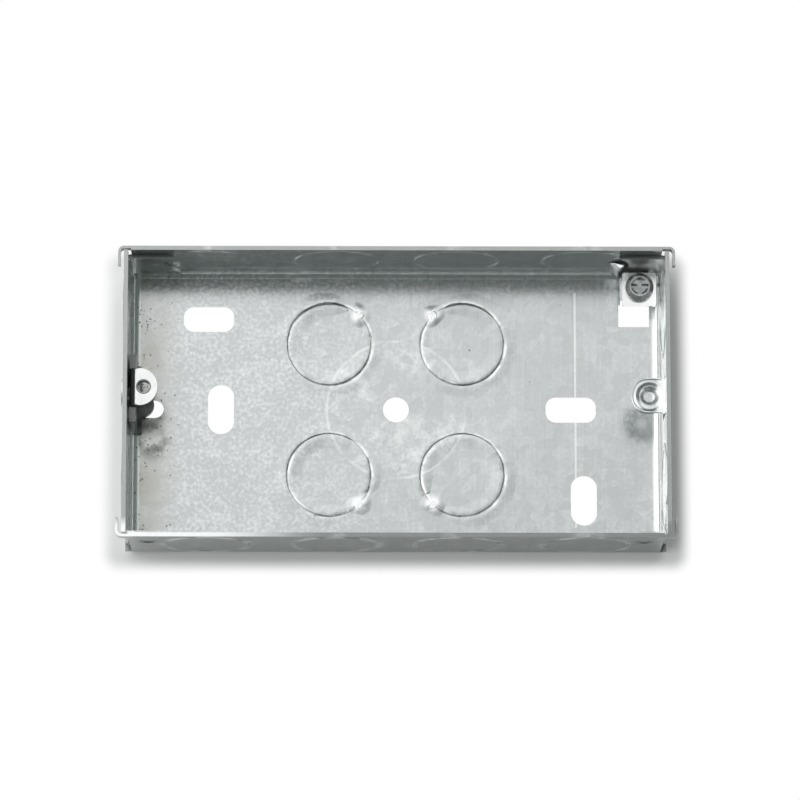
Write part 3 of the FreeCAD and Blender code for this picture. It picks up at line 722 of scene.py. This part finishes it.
# Painted shade, partly bare steel, for the levelling lug's web and foot and the corners of its face.
SHADE_AND_BARE_STEEL = (0.15, 0.16, 0.155, 1.0)
WEB_FACE = -62.3 * MM
LUG_UNDERSIDE = 18.6 * MM
LUG_SHADE_RADIUS = (4.45 * MM, 4.75 * MM)
PLATED_CLOUD = 3.0 * MM
PLATED_CLOUD_SHARE = 0.6
TUMBLING_MARK = (0.15 * MM, 0.9 * MM, 0.4 * MM)
TUMBLING_SHARE = 0.5
TUMBLING_RELIEF = 0.1
PLATED_TONE_RANGE = (0.3, 0.8)
PLATED_METALLIC = 0.95
PLATED_ROUGHNESS_SPREAD = 0.2
PLATED_RELIEF = 0.2 * MM
LUG_ROUGHNESS = 0.12
RIVET_ROUGHNESS = 0.28


def bright_plate(name, dark, light, roughness, wear_and_painted_light=False, thread=None):
    """Bright plating: cloudy tone, fine tumbling marks, painted shade with bare steel on the levelling
    lug's web, foot and face corners, a thread on a shank.
    """
    coat = Shader(name)
    cloud = coat.cloud(PLATED_CLOUD, detail=3.0)
    tumbling = coat.noise(TUMBLING_MARK)
    tone = coat.plus(coat.times(cloud, PLATED_CLOUD_SHARE), tumbling, TUMBLING_SHARE)
    colour = coat.blend(coat.ramp(tone, *PLATED_TONE_RANGE), dark, light)
    x, y, z = coat.axes()
    if wear_and_painted_light:
        # Painted shade with bare steel on the web, below the lug's face and at the face's corners away
        # from the hole.
        from_hole = coat.distance(coat.minus(x, -LUG_HOLE_X), coat.minus(y, LEVELLING_LUG_Y))
        corner = coat.ramp(from_hole, *LUG_SHADE_RADIUS)
        shade_and_bare = coat.most(coat.under(x, WEB_FACE), coat.under(z, LUG_UNDERSIDE), corner)
        colour = coat.blend(shade_and_bare, colour, SHADE_AND_BARE_STEEL)
    coat.feed(coat.surface.inputs["Base Color"], colour)
    coat.surface.inputs["Metallic"].default_value = PLATED_METALLIC
    uneven = coat.plus(roughness, tumbling, PLATED_ROUGHNESS_SPREAD)
    coat.feed(coat.surface.inputs["Roughness"], uneven)
    height = coat.times(tumbling, TUMBLING_RELIEF)
    if thread is not None:
        axis_x, axis_y, top, pitch = thread
        about = coat.math("ARCTAN2", coat.minus(y, axis_y), coat.minus(x, axis_x))
        turns = coat.math("DIVIDE", about, 2.0 * math.pi)
        climb = coat.minus(coat.math("DIVIDE", z, pitch), turns)
        ridge = coat.math("PINGPONG", climb, 0.5)
        height = coat.plus(height, ridge, coat.under(z, top))
    coat.relief(height, PLATED_RELIEF)
    return coat.material


lug_finish = bright_plate("plated_lug", PLATED_DARK, PLATED_LIGHT, LUG_ROUGHNESS, wear_and_painted_light=True)
finish_node("adjustable_lug", lug_finish)
levelling_thread.data.materials.append(lug_finish)
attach(levelling_thread, "levelling_lug")
rivet_finish = bright_plate("plated_rivet", PLATED_DARK, PLATED_LIGHT, RIVET_ROUGHNESS)
finish_node("lug_rivet", rivet_finish)

# Earth terminal: a square clamp plate of bright plated steel, its colour lightened as a painted highlight,
# under a plated screw with a cross recess, its colour darkened as a painted reflection. The screw runs in
# the tapped tab of the body and carries the plate up as it is backed off.

# Clamp colours lightened to near white: painted highlight.
CLAMP_HIGHLIGHT_DARK = (0.92, 0.93, 0.93, 1.0)
CLAMP_HIGHLIGHT_LIGHT = (0.99, 0.99, 0.985, 1.0)
# Screw colours darkened: a painted dark reflection on the plated head.
SCREW_SHADE_DARK = (0.26, 0.27, 0.27, 1.0)
SCREW_SHADE_LIGHT = (0.50, 0.51, 0.51, 1.0)
CLAMP_ROUGHNESS = 0.14
SCREW_ROUGHNESS = 0.12
# The place of the screw's axis in X and Y, the top of its thread and the pitch.
SCREW_THREAD = (58.7 * MM, 28.55 * MM, 8.7 * MM, 0.7 * MM)

clamp_finish = bright_plate("plated_clamp", CLAMP_HIGHLIGHT_DARK, CLAMP_HIGHLIGHT_LIGHT, CLAMP_ROUGHNESS)
finish_node("earth_clamp", clamp_finish)
screw_finish = bright_plate("plated_screw", SCREW_SHADE_DARK, SCREW_SHADE_LIGHT, SCREW_ROUGHNESS, thread=SCREW_THREAD)
finish_node("earth_screw", screw_finish)

# Studio: a plain white floor, a sky that is bright behind the box and at its left and dark in front of
# it and at its right, a soft lamp at the left, and a long lens that looks down from a little in front.

FLOOR_SIZE = 6.0
FLOOR_DROP = 0.05 * MM
FLOOR_WHITE = (0.86, 0.86, 0.86, 1.0)
FLOOR_ROUGHNESS = 0.9
UNDER_BOX_INSET = 4.0 * MM
BOX_HALF_LENGTH = cad_high[0]
BOX_HALF_WIDTH = cad_high[1]
SHADOW_NEAR = 1.0 * MM
SHADOW_FAR = 5.5 * MM
MIRRORED_NEAR = 15.0 * MM
MIRRORED_FAR = 110.0 * MM
SKY_BRIGHT = (1.25, 1.255, 1.26, 1.0)
SKY_DARK = (0.122, 0.147, 0.137, 1.0)
SKY_SIDE = (-0.60, 0.80, 0.0)
SKY_EDGE = (-0.10, 0.20)
SOFTBOX_PLACE = (-0.85, -0.30, 0.75)
SOFTBOX_SIZE = 1.1
SOFTBOX_POWER = 5.0

floor_mesh = bpy.data.meshes.new("floor")
half = FLOOR_SIZE / 2
floor_corners = [(-half, -half), (half, -half), (half, half), (-half, half)]
floor_mesh.from_pydata([(x, y, -FLOOR_DROP) for x, y in floor_corners], [], [(0, 1, 2, 3)])
floor = bpy.data.objects.new("floor", floor_mesh)
bpy.context.scene.collection.objects.link(floor)


def floor_card():
    """White card: plain paint near the box, where its shadow falls, and pure white further off."""
    card = Shader("floor_card")
    card.surface.inputs["Base Color"].default_value = FLOOR_WHITE
    card.surface.inputs["Roughness"].default_value = FLOOR_ROUGHNESS
    card.surface.inputs["Specular IOR Level"].default_value = 0.0
    x, y, _ = card.axes()
    past_end = card.minus(card.absolute(x), BOX_HALF_LENGTH)
    past_side = card.minus(card.absolute(y), BOX_HALF_WIDTH)
    under_box = card.under(card.most(past_end, past_side), -UNDER_BOX_INSET)
    outside = card.distance(card.most(past_end, 0.0), card.most(past_side, 0.0))
    ray = card.tree.nodes.new("ShaderNodeLightPath").outputs
    seen = card.times(ray["Is Camera Ray"], card.ramp(outside, SHADOW_NEAR, SHADOW_FAR))
    bounced = card.most(ray["Is Glossy Ray"], ray["Is Transmission Ray"])
    mirrored = card.times(bounced, card.ramp(outside, MIRRORED_NEAR, MIRRORED_FAR))
    below = card.times(card.most(ray["Is Camera Ray"], bounced), under_box)
    white = card.most(seen, mirrored, below)
    glow = card.tree.nodes.new("ShaderNodeEmission")
    mix = card.tree.nodes.new("ShaderNodeMixShader")
    card.feed(mix.inputs[0], white)
    card.feed(mix.inputs[1], card.surface.outputs[0])
    card.feed(mix.inputs[2], glow.outputs[0])
    card.feed(card.tree.nodes["Material Output"].inputs["Surface"], mix.outputs[0])
    return card.material


floor_mesh.materials.append(floor_card())

world = bpy.data.worlds.new("studio")
world.use_nodes = True
sky = world.node_tree
direction = sky.nodes.new("ShaderNodeTexCoord")
towards = sky.nodes.new("ShaderNodeVectorMath")
towards.operation = "DOT_PRODUCT"
towards.inputs[1].default_value = SKY_SIDE
sky.links.new(direction.outputs["Generated"], towards.inputs[0])
edge = sky.nodes.new("ShaderNodeMapRange")
edge.interpolation_type = "SMOOTHSTEP"
edge.inputs["From Min"].default_value, edge.inputs["From Max"].default_value = SKY_EDGE
sky.links.new(towards.outputs["Value"], edge.inputs["Value"])
tone = sky.nodes.new("ShaderNodeMix")
tone.data_type = "RGBA"
sky.links.new(edge.outputs[0], tone.inputs[0])
tone_colours = [socket for socket in tone.inputs if socket.type == "RGBA"]
tone_colours[0].default_value = SKY_DARK
tone_colours[1].default_value = SKY_BRIGHT
tone_out = [socket for socket in tone.outputs if socket.type == "RGBA"][0]
sky.links.new(tone_out, sky.nodes["Background"].inputs["Color"])
bpy.context.scene.world = world

softbox_lamp = bpy.data.lights.new("left_softbox", "AREA")
softbox_lamp.shape = "RECTANGLE"
softbox_lamp.size = SOFTBOX_SIZE
softbox_lamp.size_y = SOFTBOX_SIZE
softbox_lamp.energy = SOFTBOX_POWER
softbox = bpy.data.objects.new("left_softbox", softbox_lamp)
softbox.location = SOFTBOX_PLACE
softbox.rotation_euler = Vector(SOFTBOX_PLACE).to_track_quat("Z", "Y").to_euler()
bpy.context.scene.collection.objects.link(softbox)

IMAGE_WIDTH = 800
FOCAL_PIXELS = 4957.0
SENSOR_WIDTH = 36.0
CAMERA_TILT = 0.1907
CAMERA_LEAN = -0.0095
CAMERA_OFFSET = (1.0 * MM, 2.51 * MM, 1.2)

camera_data = bpy.data.cameras.new("camera")
camera_data.sensor_fit = "HORIZONTAL"
camera_data.sensor_width = SENSOR_WIDTH
camera_data.lens = FOCAL_PIXELS / IMAGE_WIDTH * SENSOR_WIDTH
camera = bpy.data.objects.new("camera", camera_data)
turn = Euler((CAMERA_TILT, CAMERA_LEAN, 0.0), "ZXY").to_matrix()
camera.rotation_euler = turn.to_euler()
camera.location = turn @ Vector(CAMERA_OFFSET)
bpy.context.scene.collection.objects.link(camera)
bpy.context.scene.camera = camera
bpy.context.scene.view_settings.view_transform = "Standard"
